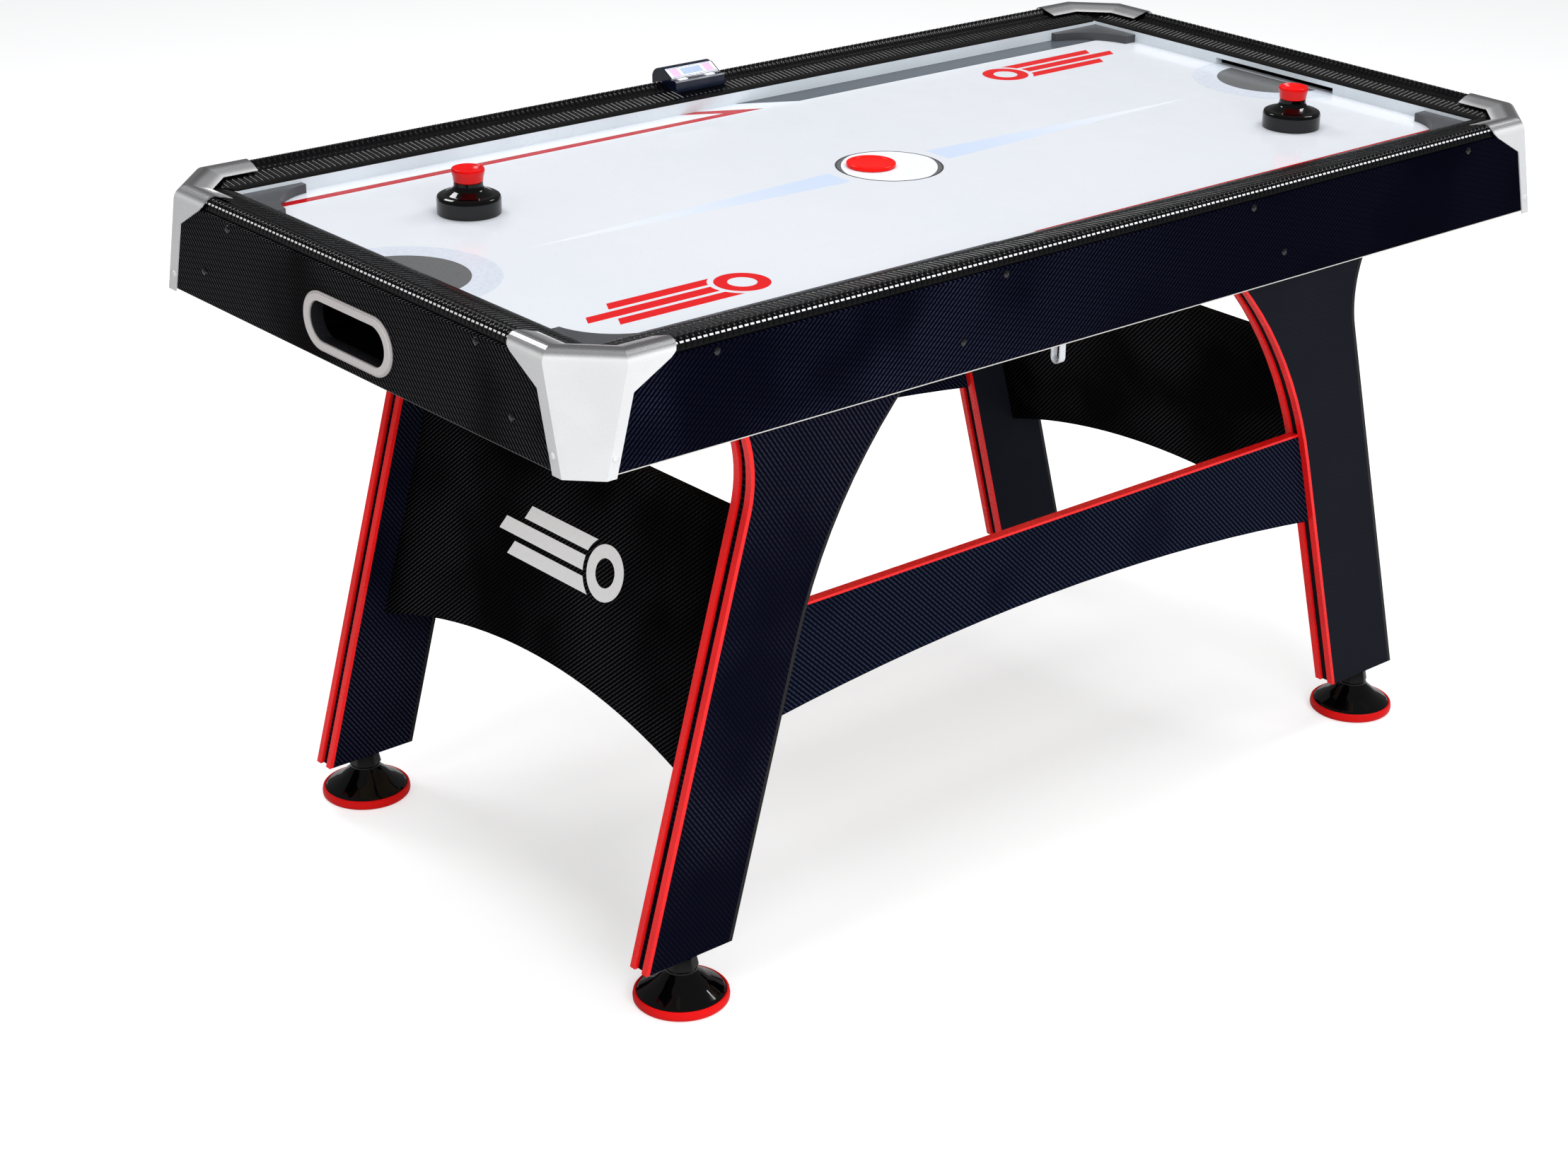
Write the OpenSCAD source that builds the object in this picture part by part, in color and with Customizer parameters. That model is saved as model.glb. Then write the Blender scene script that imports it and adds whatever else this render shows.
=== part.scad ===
// Air hockey table: cabinet with a plenum and blower, splayed legs, goals, scorer, mallets and puck.
// Units are millimetres. +Z is up, X runs along the table, the origin is on the floor under its middle.

/* [Cabinet] */
// Overall length over the apron boards
table_len = 1524; // [1500:1:1560]
// Overall width over the apron boards
table_wid = 812.8; // [790:0.1:840]
// Height from the floor to the crest of the top rail
table_hgt = 812.8; // [800:0.1:830]
// Height of the apron boards below the rail
apron_hgt = 107; // [104:1:116]
// Thickness of the apron boards
apron_t = 15; // [12:0.5:18]

/* [Playing field] */
// Half length of the field between the end walls
field_x = 695; // [685:0.5:700]
// Half width of the field between the side walls
field_y = 335; // [325:0.5:340]
// Height of the rail lip over the playing surface
wall_hgt = 14.8; // [12:0.1:18]
// Width of a goal slot
goal_w = 208; // [180:1:220]
// Height of a goal slot
goal_h = 8.4; // [7:0.1:9]

/* [Legs] */
// Distance of a leg's mid plane from the long centre plane
leg_y = 319.2; // [310:0.1:325]
// Thickness of a leg over its faces
leg_t = 29.4; // [26:0.2:32]
// Height of the leg's sole over the floor
leg_sole = 56; // [50:0.5:60]
// Radius of the levelling foot's rubber ring
foot_r = 54.6; // [45:0.1:58]

/* [Mallets and puck] */
// Radius of a mallet's base
mallet_r = 36.6; // [33:0.1:40]
// Radius of the puck
puck_r = 30; // [26:0.5:34]

/* [Hidden] */
$fn = 72;
e = 0.01;
hx = table_len / 2;
hy = table_wid / 2;
top_z = table_hgt;
rail_z = top_z - 15;
apron_z = rail_z - apron_hgt;
field_z = rail_z - wall_hgt;
panel_t = 6;
panel_z = apron_z + 9;
field_t = 6;
wall_t = 12;
plenum_z = field_z - 38;
plenum_x = 600;
plenum_y = 345;
corner_cut = 60;
corner_lean = 0.2458;
lean_deg = 9.86;
cap_t = 1.6;
crease = 0.273;
leg_top = panel_z;
strip_w = 8.8;
strip_d = 5;
slot_w = leg_t - 2 * strip_w;
panel_lean = 15.27;
return_z = 735;
return_w = 146;
return_h = 46;
puck_x = -17;
puck_y = 14;
mallet_1 = [-503.5, 150];
mallet_2 = [528, -176.5];
lift = 0.2;

// ---------- shared shapes ----------

// a block given by two opposite corners
module block(a, b) {
  translate(a) cube(b - a);
}

// the outside of the cabinet at one corner, grown by t, as the space the chamfer cuts away
module corner_space(t) {
  translate([hx, hy - corner_cut, top_z - 5])
    rotate([0, -lean_deg, 45])
      translate([t, -200, -300]) cube([200, 400, 600]);
}

// the four corner spaces
module corner_spaces(t) {
  for (sx = [0, 1], sy = [0, 1])
    mirror([sx, 0, 0]) mirror([0, sy, 0]) corner_space(t);
}

// rail section: x is the distance in from the apron's face, y is height; w is its width
module rail_section(w) {
  intersection() {
    translate([12.8, 6.5]) circle(r = 8);
    square([30, 20]);
  }
  polygon([[3, 0], [w, 0], [w, 1.6], [30, 6.9], [17.9, 12.8], [12.8, 10], [4.2, 6.7], [3, 4]]);
}

// long rail on the far side, before its corners are cut
module rail_bar_far(w = hy - field_y) {
  intersection() {
    translate([-hx, hy, rail_z])
      rotate([90, 0, 90]) mirror([1, 0, 0]) linear_extrude(2 * hx) rail_section(w);
    mitre_space();
  }
}

// space that a far rail keeps after the 45 degree mitres at its ends
module mitre_space() {
  linear_extrude(900)
    polygon([[-hx, hy], [hx, hy], [hx - 100, hy - 100], [-hx + 100, hy - 100]]);
}

// end rail on the right, before its corners are cut
module rail_bar_right(w = hx - field_x) {
  intersection() {
    translate([hx, -hy, rail_z])
      rotate([90, 0, 0]) mirror([0, 0, 1]) mirror([1, 0, 0]) linear_extrude(2 * hy) rail_section(w);
    linear_extrude(900)
      polygon([[hx, -hy], [hx, hy], [hx - 100, hy - 100], [hx - 100, -hy + 100]]);
  }
}

// ---------- cabinet ----------

// screw places on the long aprons: [x, z]
long_screws = [[-594, 791], [-198, 791], [198, 791], [594, 791], [-258, 727], [258, 727]];
// screw places on the end aprons: [y, z]
end_screws = [[-236, 791], [236, 791], [-294, 728], [294, 728]];

module apron_far_solid() {
  color("midnightblue") difference() {
    linear_shape_far();
    corner_spaces(-1);
    for (p = long_screws)
      translate([p[0], hy - 12, p[1]]) rotate([-90, 0, 0]) cylinder(r = 2, h = 13);
    for (s = [-1, 1])
      translate([s * 721.7, hy - 12, 708.5]) rotate([-90, 0, 0]) cylinder(r = 1.8, h = 13);
  }
}

// the long apron with mitred ends
module linear_shape_far() {
  translate([0, 0, apron_z]) linear_extrude(apron_hgt)
    polygon([[-hx, hy], [hx, hy], [hx - apron_t, hy - apron_t], [-hx + apron_t, hy - apron_t]]);
}

module apron_right_solid() {
  color("black") difference() {
    translate([0, 0, apron_z]) linear_extrude(apron_hgt)
      polygon([[hx, -hy], [hx, hy], [hx - apron_t, hy - apron_t], [hx - apron_t, -hy + apron_t]]);
    corner_spaces(-1);
    for (p = end_screws)
      translate([hx - 12, p[0], p[1]]) rotate([0, 90, 0]) cylinder(r = 2, h = 13);
    for (s = [-1, 1])
      translate([hx - 12, s * 362, 708.5]) rotate([0, 90, 0]) cylinder(r = 1.8, h = 13);
    translate([hx - apron_t - 1, 0, return_z])
      rotate([90, 0, 90]) linear_extrude(apron_t + 2) stadium(return_w + 4, return_h + 4);
  }
}

// a slot shape with round ends, w long and h high
module stadium(w, h) {
  square([w - h, h], center = true);
  for (s = [-1, 1]) translate([s * (w - h) / 2, 0]) circle(r = h / 2);
}

module apron_far() apron_far_solid();
module apron_near() mirror([0, 1, 0]) apron_far_solid();
module apron_right() apron_right_solid();
module apron_left() mirror([1, 0, 0]) apron_right_solid();

module bottom_panel() {
  color("dimgray") difference() {
    block([-hx + apron_t, -hy + apron_t, panel_z], [hx - apron_t, hy - apron_t, panel_z + panel_t]);
    corner_spaces(-16);
    translate([0, 0, panel_z - 1]) cylinder(r = 52, h = panel_t + 2);
    translate([150, 0, panel_z - 1]) cylinder(r = 7, h = panel_t + 2);
    for (p = leg_bolt_places()) translate([p[0], p[1], panel_z - 1]) cylinder(r = 4, h = panel_t + 2);
  }
}

// where the leg bolts pass down through the bottom panel
function leg_bolt_places() =
  [for (sx = [-1, 1], sy = [-1, 1], x = [320, 450]) [sx * x, sy * leg_y]];

module plenum_floor() {
  color("burlywood") difference() {
    block([-plenum_x, -plenum_y, plenum_z], [plenum_x, plenum_y, plenum_z + 6]);
    translate([0, 0, plenum_z - 1]) cylinder(r = 30, h = 8);
  }
}

module plenum_ribs() {
  z0 = plenum_z + 6;
  z1 = field_z - field_t;
  color("tan") difference() {
    block([-plenum_x, -plenum_y, z0], [plenum_x, plenum_y, z1]);
    for (i = [-2 : 1], s = [-1, 1])
      mirror([0, s > 0 ? 0 : 1, 0])
        block([i * 295 + 8, 8, z0 - 1], [i * 295 + 287, plenum_y - 14, z1 + 1]);
    for (x = [-295, 0, 295], y = [-250, -120, 120, 250])
      translate([x, y, (z0 + z1) / 2]) cube([30, 60, 14], center = true);
    for (x = [-440, -150, 150, 440])
      translate([x, 0, (z0 + z1) / 2]) cube([80, 30, 14], center = true);
    translate([0, 0, z0 - 1]) cylinder(r = 34, h = z1 - z0 - 4);
  }
}

module playfield() {
  color("white")
    block([-field_x - wall_t, -field_y - wall_t, field_z - field_t],
      [field_x + wall_t, field_y + wall_t, field_z]);
}

module side_walls() {
  color("white") for (s = [0, 1]) mirror([0, s, 0])
    block([-field_x - wall_t, field_y, field_z], [field_x + wall_t, field_y + wall_t, rail_z]);
}

module end_walls() {
  color("white") for (s = [0, 1]) mirror([s, 0, 0]) difference() {
    block([field_x, -field_y, field_z], [field_x + wall_t, field_y, rail_z]);
    block([field_x - 1, -goal_w / 2, field_z - 1], [field_x + wall_t + 1, goal_w / 2, field_z + goal_h]);
  }
}

module rail_far() color("black") difference() {
  rail_bar_far();
  corner_spaces(-12.5);
}
module rail_near() mirror([0, 1, 0]) rail_far();
module rail_right() color("black") difference() {
  rail_bar_right();
  corner_spaces(-12.5);
}
module rail_left() mirror([1, 0, 0]) rail_right();

// ---------- corner caps ----------

// outer half of the cap's section: x is the distance in from the cap's outer face
module cap_outer() {
  polygon(concat([[0, -112]], [for (a = [0 : 9 : 90]) [16 - 16 * cos(a), 16 * sin(a)]],
    [[200, 16], [200, -112]]));
}

// inner half of the cap's section: it falls from the crest toward the playing field
module cap_inner() {
  polygon([[-60, -112], [40, -112], [40, 8.5], [16, 15.9], [-60, 39.3]]);
}

// the same two halves for the chamfer, which leans
lean_c = (16 - cap_t - 9.4 * sin(lean_deg)) / cos(lean_deg);
lean_p = [lean_c - 16 * cos(lean_deg), 16 * sin(lean_deg)];
module lean_outer() {
  polygon(concat([lean_p - 118 * [sin(lean_deg), cos(lean_deg)]],
    [for (i = [0 : 9]) let (a = lean_deg + i * (90 - lean_deg) / 9) [lean_c - 16 * cos(a), 16 * sin(a)]],
    [[200, 16], [200, -112]]));
}

module lean_inner() {
  polygon([[-60, -112], [lean_c + 24, -112], [lean_c + 24, 8.5], [lean_c, 15.9], [lean_c - 76, 39.3]]);
}

module block2(a, b) {
  translate(a) square(b - a);
}

module along_far() {
  translate([hx - 300, hy + cap_t, rail_z + 0.6])
    rotate([90, 0, 90]) mirror([1, 0, 0]) linear_extrude(500) children();
}

module along_right() {
  translate([hx + cap_t, hy - 300, rail_z + 0.6])
    rotate([90, 0, 0]) mirror([0, 0, 1]) mirror([1, 0, 0]) linear_extrude(500) children();
}

module along_chamfer() {
  translate([hx, hy - corner_cut, rail_z + 0.6]) rotate([0, 0, 45])
    rotate([90, 0, 0]) mirror([0, 0, 1]) translate([0, 0, -250]) mirror([1, 0, 0])
      linear_extrude(600) children();
}

// the far right corner as a solid
module cap_solid() {
  difference() {
    intersection() {
      along_far() cap_outer();
      along_right() cap_outer();
      along_chamfer() lean_outer();
      union() {
        along_far() cap_inner();
        along_right() cap_inner();
        along_chamfer() lean_inner();
      }
    }
    block([0, 0, 0], [hx + 9, hy + 9, apron_z - 3.2]);
  }
}

// outline of one cap wing: x is the distance from the cabinet's corner edge, y is height
module wing_outline(reach, strip) {
  polygon([[-40, apron_z - 3.2], [strip, apron_z - 3.2], [strip + 22, 772], [reach - 8, 797.5],
    [reach - 1.5, 803], [reach + 2, 811], [reach - 2, 840], [-40, 840]]);
}

module cap_far_right_solid() {
  color("silver") difference() {
    union() {
      intersection() {
        cap_shell();
        translate([hx + 10, hy, 0]) rotate([90, 0, -90]) linear_extrude(200) wing_outline(118, 45);
        linear_extrude(900)
          polygon([[hx + 20, hy + 20], [hx + 20, hy - 180], [hx - 150, hy - 180], [hx - 150, hy - 150]]);
      }
      intersection() {
        cap_shell();
        translate([hx, hy + 10, 0]) rotate([90, 0, 0]) mirror([1, 0, 0])
          linear_extrude(200) wing_outline(118, 42);
        linear_extrude(900)
          polygon([[hx + 20, hy + 20], [hx - 180, hy + 20], [hx - 180, hy - 150], [hx - 150, hy - 150]]);
      }
    }
    translate([721.7, hy + 5, 708.5]) rotate([90, 0, 0]) cylinder(r = 1.8, h = 20);
    translate([hx + 5, 362, 708.5]) rotate([0, -90, 0]) cylinder(r = 1.8, h = 20);
  }
}

module cap_shell() {
  difference() {
    cap_solid();
    translate([-1.6, -1.6, -1.2]) cap_solid();
  }
}

module cap_far_right() cap_far_right_solid();
module cap_far_left() mirror([1, 0, 0]) cap_far_right_solid();
module cap_near_right() mirror([0, 1, 0]) cap_far_right_solid();
module cap_near_left() mirror([1, 0, 0]) mirror([0, 1, 0]) cap_far_right_solid();

// ---------- field corners and goals ----------

module corner_guards() {
  color("dimgray") for (sx = [0, 1], sy = [0, 1]) mirror([sx, 0, 0]) mirror([0, sy, 0])
    translate([0, 0, field_z]) linear_extrude(10.5) difference() {
      translate([field_x - 88, field_y - 78]) square([88, 78]);
      translate([field_x - 100, field_y - 90]) circle(r = 82);
      translate([field_x - 100, field_y - 90]) square([12.01, 82]);
      translate([field_x - 100, field_y - 90]) square([92, 12.01]);
    }
}

module goal_box_right_solid() {
  x0 = field_x - 62;
  x1 = hx - apron_t;
  z0 = panel_z + panel_t;
  z1 = field_z - field_t;
  color("black") difference() {
    union() {
      block([x0, -104, z0], [x1, 104, z1]);
      block([field_x + wall_t, -112, z1 - 1], [x1, 112, field_z + 4]);
    }
    block([x0 + 2, -102, z0 + 2], [x1 + 1, 102, z1 - 2]);
    block([field_x + wall_t + 2, -102, z1 - 3], [x1 - 2, 102, field_z + 5]);
    block([field_x, -102, field_z], [field_x + wall_t + 3, 102, field_z + 5]);
  }
}
module goal_box_right() goal_box_right_solid();
module goal_box_left() mirror([1, 0, 0]) goal_box_right_solid();

module bezel_solid() {
  color("silver") difference() {
    union() {
      translate([hx, 0, return_z]) rotate([90, 0, 90]) linear_extrude(2.4) stadium(169, 66);
      translate([hx + 2.4, 0, return_z]) rotate([90, 0, 90]) linear_extrude(1.2) stadium(164, 61);
      translate([hx - apron_t, 0, return_z]) rotate([90, 0, 90])
        linear_extrude(apron_t + 1) stadium(return_w + 4, return_h + 4);
    }
    translate([hx - apron_t - 1, 0, return_z]) rotate([90, 0, 90])
      linear_extrude(apron_t + 8) stadium(return_w, return_h);
  }
}
module return_bezel_right() bezel_solid();
module return_bezel_left() mirror([1, 0, 0]) bezel_solid();

// ---------- blower ----------

module blower_housing() {
  z0 = panel_z + panel_t;
  color("darkslategray") difference() {
    translate([0, 0, z0]) cylinder(r = 68, h = plenum_z - z0);
    translate([0, 0, z0 + 2]) cylinder(r = 65.5, h = plenum_z - z0 - 4);
    translate([0, 0, z0 - 1]) cylinder(r = 46, h = 5);
    translate([0, 0, plenum_z - 3]) difference() {
      cylinder(r = 30, h = 5);
      cylinder(r = 22, h = 5);
      for (a = [0, 120, 240]) rotate(a) translate([0, -3, 0]) cube([40, 6, 5]);
    }
  }
}

module blower_grille() {
  color("black") translate([0, 0, panel_z]) {
    difference() {
      cylinder(r = 52, h = 2.5);
      translate([0, 0, -1]) cylinder(r = 46, h = 5);
    }
    for (y = [-40 : 8 : 40]) {
      w = sqrt(46.4 * 46.4 - y * y);
      translate([-w, y - 1.2, 0]) cube([2 * w, 2.4, 2.5]);
    }
  }
}

module blower_motor() {
  color("gray") {
    translate([0, 0, plenum_z - 18]) cylinder(r = 18, h = 16);
    translate([0, 0, plenum_z - 34]) cylinder(r = 3, h = 17);
  }
}

module impeller() {
  z0 = panel_z + panel_t + 5;
  color("whitesmoke") {
    difference() {
      translate([0, 0, z0]) cylinder(r = 60, h = 2);
      translate([0, 0, z0 - 1]) cylinder(r = 3.05, h = 4);
    }
    difference() {
      translate([0, 0, z0 + 1.9]) cylinder(r = 9, h = 6);
      translate([0, 0, z0 + 1]) cylinder(r = 3.05, h = 8);
    }
    for (a = [0 : 20 : 340]) rotate(a) translate([44, 0, z0 + 1.9]) rotate(35) translate([0, -0.8, 0])
      cube([14, 1.6, 18]);
  }
}

module power_inlet() {
  color("black") translate([150, 0, panel_z]) difference() {
    union() {
      cylinder(r = 7, h = 14);
      translate([0, 0, -2]) cylinder(r = 9.5, h = 2);
    }
    translate([0, 0, -3]) cylinder(r = 3.1, h = 14);
    translate([0, 0, -3]) cylinder(r = 4.6, h = 3.2);
  }
}

// ---------- scorer ----------

scorer_x = 39.5;
shelf_z = 817.4;
button_x = 22;
button_y = [369.8, 366.3];

// end view of the scorer: a round back, a sloping face and a low shelf in front
module scorer_outline() {
  intersection() {
    translate([396.5, 812.6]) circle(r = 16);
    block2([392, 790], [411.9, 840]);
  }
  polygon([[362.4, rail_z], [411.8, rail_z], [411.8, 812], [392, 827.7], [389, 827.9], [373, 818.6],
    [371.8, shelf_z], [364, shelf_z], [362.4, shelf_z - 1.6]]);
}

// the hollow inside the scorer's case
module scorer_hollow() {
  polygon([[364.4, rail_z - 5], [409.6, rail_z - 5], [409.6, 812], [405, 820.5], [397, 825.3], [390, 825.6],
    [374, 816.4], [372, shelf_z - 2.2], [364.4, shelf_z - 2.2]]);
}

module scorer_case() {
  color("midnightblue") difference() {
    translate([-scorer_x, 0, 0]) rotate([90, 0, 90]) linear_extrude(2 * scorer_x) scorer_outline();
    translate([-scorer_x + 2.2, 0, 0]) rotate([90, 0, 90])
      linear_extrude(2 * scorer_x - 4.4) scorer_hollow();
    translate([-200, hy, rail_z]) rotate([90, 0, 90]) mirror([1, 0, 0]) linear_extrude(400)
      scorer_seat();
    for (sx = [-1, 1], y = button_y)
      block([sx * button_x - 10.2, y - 1.4, 810], [sx * button_x + 4.2, y + 1.4, 830]);
  }
  color("midnightblue") for (sx = [-1, 1])
    block([sx * 6 - 1.5, 366, 807.6], [sx * 6 + 1.5, 369, shelf_z - 2]);
}

// what the scorer's foot stands over: the rail and the top edge of the apron
module scorer_seat() {
  rail_section(hy - field_y);
  translate([-20, -20]) square([24, 26.7]);
  translate([-1, -20]) square([110, 20.5]);
}

module scorer_face() {
  color("lavender") translate([0, 389, 827.9]) rotate([30.17, 0, 0])
    translate([-37.2, -18.3, 0]) cube([74.4, 18, 0.7]);
}

module scorer_board() {
  color("green") {
    block([-36, 365, 806.2], [36, 375, 807.6]);
    block([-14, 373.5, 807.5], [14, 376.5, 812.5]);
  }
}

// a key with a flange that keeps it under the shelf and a stem that meets the switch
module score_button(sx, y) {
  x = sx * button_x - 3;
  color("white") {
    block([x - 7, y - 1.2, shelf_z - 4], [x + 7, y + 1.2, shelf_z + 1.3]);
    block([x - 8.2, y - 1.5, shelf_z - 4], [x + 8.2, y + 1.5, shelf_z - 2.5]);
    block([x - 2.5, y - 0.9, 810], [x + 2.5, y + 0.9, shelf_z - 3.9]);
  }
}
module score_button_1() score_button(-1, button_y[0]);
module score_button_2() score_button(-1, button_y[1]);
module score_button_3() score_button(1, button_y[0]);
module score_button_4() score_button(1, button_y[1]);

// ---------- legs ----------

// the outer edge's distance from the middle at height z, on its straight part
function outer_x(z) = 637 - crease * (z - leg_sole);
// the inner edge's distance from the middle at height z, on its straight part
function inner_x(z) = 516 - crease * (z - leg_sole);
bend_z = 400;
bend_r = 600;
neck_r = 150;
neck_x = 640;
neck_z = 605;

// points of the outer edge from the sole to the top, moved in by d
function outer_edge(d) = concat([[outer_x(leg_sole) - d, leg_sole]],
  [for (a = [-15.3 : 3 : 38.7]) [neck_x - (neck_r + d) * cos(a), neck_z + (neck_r + d) * sin(a)]]);
// points of the inner edge from the sole to the top, moved in by d
function inner_edge(d) = concat([[inner_x(leg_sole) + d, leg_sole]],
  [for (a = [0 : 3 : 36]) [inner_x(bend_z) + (bend_r - d) * (cos(15.27 + a) - cos(15.27)) + d,
    bend_z + (bend_r - d) * (sin(15.27 + a) - sin(15.27))]]);

function reversed(v) = [for (i = [len(v) - 1 : -1 : 0]) v[i]];

module leg_shape(d) {
  intersection() {
    polygon(concat(outer_edge(d), reversed(inner_edge(d))));
    translate([0, leg_sole]) square([900, leg_top - leg_sole]);
  }
}

// the board of the far right leg, with the foot's thread hole and the bolt holes in its top
module leg_solid() {
  color("black") difference() {
    translate([0, leg_y + leg_t / 2, 0]) rotate([90, 0, 0]) linear_extrude(leg_t) leg_shape(strip_d);
    translate([577, leg_y, leg_sole - 1]) cylinder(r = 5.06, h = 46);
    for (x = [320, 450]) translate([x, leg_y, leg_top - 40]) cylinder(r = 4, h = 50);
  }
}
module leg_far_right() leg_solid();
module leg_far_left() mirror([1, 0, 0]) leg_solid();
module leg_near_right() mirror([0, 1, 0]) leg_solid();
module leg_near_left() mirror([1, 0, 0]) mirror([0, 1, 0]) leg_solid();

// the four red strips of one leg
module leg_strips() {
  for (y = [leg_y - leg_t / 2, leg_y + leg_t / 2 - strip_w])
    translate([0, y + strip_w, 0]) rotate([90, 0, 0]) linear_extrude(strip_w) difference() {
      leg_shape(0);
      leg_shape(strip_d);
    }
}
module leg_trims_far() color("red") for (s = [0, 1]) mirror([s, 0, 0]) leg_strips();
module leg_trims_near() mirror([0, 1, 0]) leg_trims_far();

// leaning panel between the two legs of the right end, arched at its foot
module end_panel_solid() {
  w = 2 * (leg_y - leg_t / 2);
  color("black") difference() {
    translate([530.3, 0, 300]) rotate([0, -panel_lean - 0.7, 0])
      translate([-15, -w / 2, -110]) cube([15, w, 400]);
    block([300, -400, 539], [700, 400, 640]);
    translate([400, 0, 291 - 990]) rotate([0, 90, 0]) cylinder(r = 990, h = 300, $fn = 360);
  }
}
module end_panel_right() end_panel_solid();
module end_panel_left() mirror([1, 0, 0]) end_panel_solid();

stretch_top = 436;
stretch_r = 3300;

module stretcher_solid() {
  color("black") difference() {
    translate([0, leg_y + slot_w / 2, 0]) rotate([90, 0, 0]) linear_extrude(slot_w) difference() {
      polygon([[-inner_x(300) - 5, 300], [inner_x(300) + 5, 300], [inner_x(bend_z) + 5, bend_z],
        [inner_x(stretch_top) + 3, stretch_top - 3], [-inner_x(stretch_top) - 3, stretch_top - 3],
        [-inner_x(bend_z) - 5, bend_z]]);
      translate([0, 338.5 - stretch_r]) circle(r = stretch_r, $fn = 720);
    }
    for (sx = [0, 1]) mirror([sx, 0, 0]) translate([0, leg_y + leg_t / 2, 0]) rotate([90, 0, 0])
      linear_extrude(leg_t) leg_shape(strip_d);
  }
}
module stretchers() for (s = [0, 1]) mirror([0, s, 0]) stretcher_solid();

module stretcher_trims() {
  x = inner_x(stretch_top) - 1;
  color("red") for (s = [0, 1]) mirror([0, s, 0])
    block([-x, leg_y - slot_w / 2, stretch_top - 3], [x, leg_y + slot_w / 2, stretch_top]);
}

// clear loop under the near apron that holds the adapter's lead
module cable_clip() {
  color("white") translate([-109, -hy + 8, 0]) rotate([90, 0, 90]) linear_extrude(9) difference() {
    union() {
      translate([0, 674.5]) circle(r = 7);
      translate([-7, 674.5]) square([14, apron_z - 674.5]);
    }
    translate([0, 674.5]) circle(r = 5.6);
    translate([-5.6, 674.5]) square([11.2, 40]);
  }
}

// ---------- levelling feet ----------

module foot_solid() {
  color("black") translate([577, leg_y, 0]) {
    rotate_extrude() polygon([[0, 3], [50.6, 3], [50.6, 11.5], [48, 13.5], [18.5, 38], [18.5, 40], [0, 40]]);
    translate([0, 0, 39.9]) cylinder(r1 = 20.5, r2 = 18, h = 15.6, $fn = 6);
    translate([0, 0, 55]) cylinder(r = 5, h = 40);
  }
}
module ring_solid() {
  color("red") translate([577, leg_y, 0])
    rotate_extrude() polygon([[0, 0], [52.5, 0], [foot_r, 2.5], [foot_r - 1, 10.5], [52.4, 12.2],
      [50.6, 12.2], [50.6, 3], [0, 3]]);
}
module foot_far_right() foot_solid();
module foot_far_left() mirror([1, 0, 0]) foot_solid();
module foot_near_right() mirror([0, 1, 0]) foot_solid();
module foot_near_left() mirror([1, 0, 0]) mirror([0, 1, 0]) foot_solid();
module foot_ring_far_right() ring_solid();
module foot_ring_far_left() mirror([1, 0, 0]) ring_solid();
module foot_ring_near_right() mirror([0, 1, 0]) ring_solid();
module foot_ring_near_left() mirror([1, 0, 0]) mirror([0, 1, 0]) ring_solid();

// ---------- mallets and puck ----------

module mallet_base(p) {
  color("black") translate([p[0], p[1], field_z + lift]) rotate_extrude()
    polygon([[0, 2], [33, 2], [33, 0], [mallet_r - 0.6, 0], [mallet_r, 0.6], [mallet_r, 19.5],
      [mallet_r - 0.8, 21.2], [mallet_r - 2.4, 22.2], [28, 24], [22, 26], [18.5, 28.2], [16.8, 31],
      [16.4, 36], [0, 36]]);
}
module mallet_knob(p) {
  color("red") translate([p[0], p[1], field_z + lift + 36]) rotate_extrude()
    polygon([[0, 0], [16.6, 0], [17.4, 6], [18.8, 12], [19, 13.6], [18.6, 15.2], [17.4, 16],
      [15.6, 15.4], [12, 12.6], [7, 11], [0, 10.5]]);
}
module mallet_base_1() mallet_base(mallet_1);
module mallet_base_2() mallet_base(mallet_2);
module mallet_knob_1() mallet_knob(mallet_1);
module mallet_knob_2() mallet_knob(mallet_2);

module puck() {
  color("red") translate([puck_x, puck_y, field_z + lift]) rotate_extrude()
    polygon([[0, 0], [puck_r - 1, 0], [puck_r, 1], [puck_r, 4.2], [puck_r - 1, 5.1], [puck_r - 4, 5.4],
      [puck_r - 7, 5.1], [puck_r - 8, 4.4], [0, 4.4]]);
}

// ---------- screws ----------

// a dome-headed screw whose head sits on a face at the origin and points along +X
module dome_screw(r, reach) {
  rotate([0, 90, 0]) rotate_extrude()
    polygon([[0, -reach], [r * 0.44, -reach], [r * 0.44, 0], [r, 0], [r * 0.9, r * 0.28],
      [r * 0.55, r * 0.48], [0, r * 0.55]]);
}

module screws() {
  color("dimgray") {
    for (s = [0, 1]) mirror([0, s, 0]) {
      for (p = long_screws) translate([p[0], hy, p[1]]) rotate([0, 0, 90]) dome_screw(4.5, 10);
      for (x = [-721.7, 721.7]) translate([x, hy + cap_t, 708.5]) rotate([0, 0, 90]) dome_screw(4, 11);
    }
    for (s = [0, 1]) mirror([s, 0, 0]) {
      for (p = end_screws) translate([hx, p[0], p[1]]) dome_screw(4.5, 10);
      for (y = [-362, 362]) translate([hx + cap_t, y, 708.5]) dome_screw(4, 11);
    }
    for (p = leg_bolt_places()) translate([p[0], p[1], panel_z + panel_t]) {
      cylinder(r = 8, h = 5);
      translate([0, 0, -40]) cylinder(r = 4, h = 41);
    }
  }
}

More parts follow.
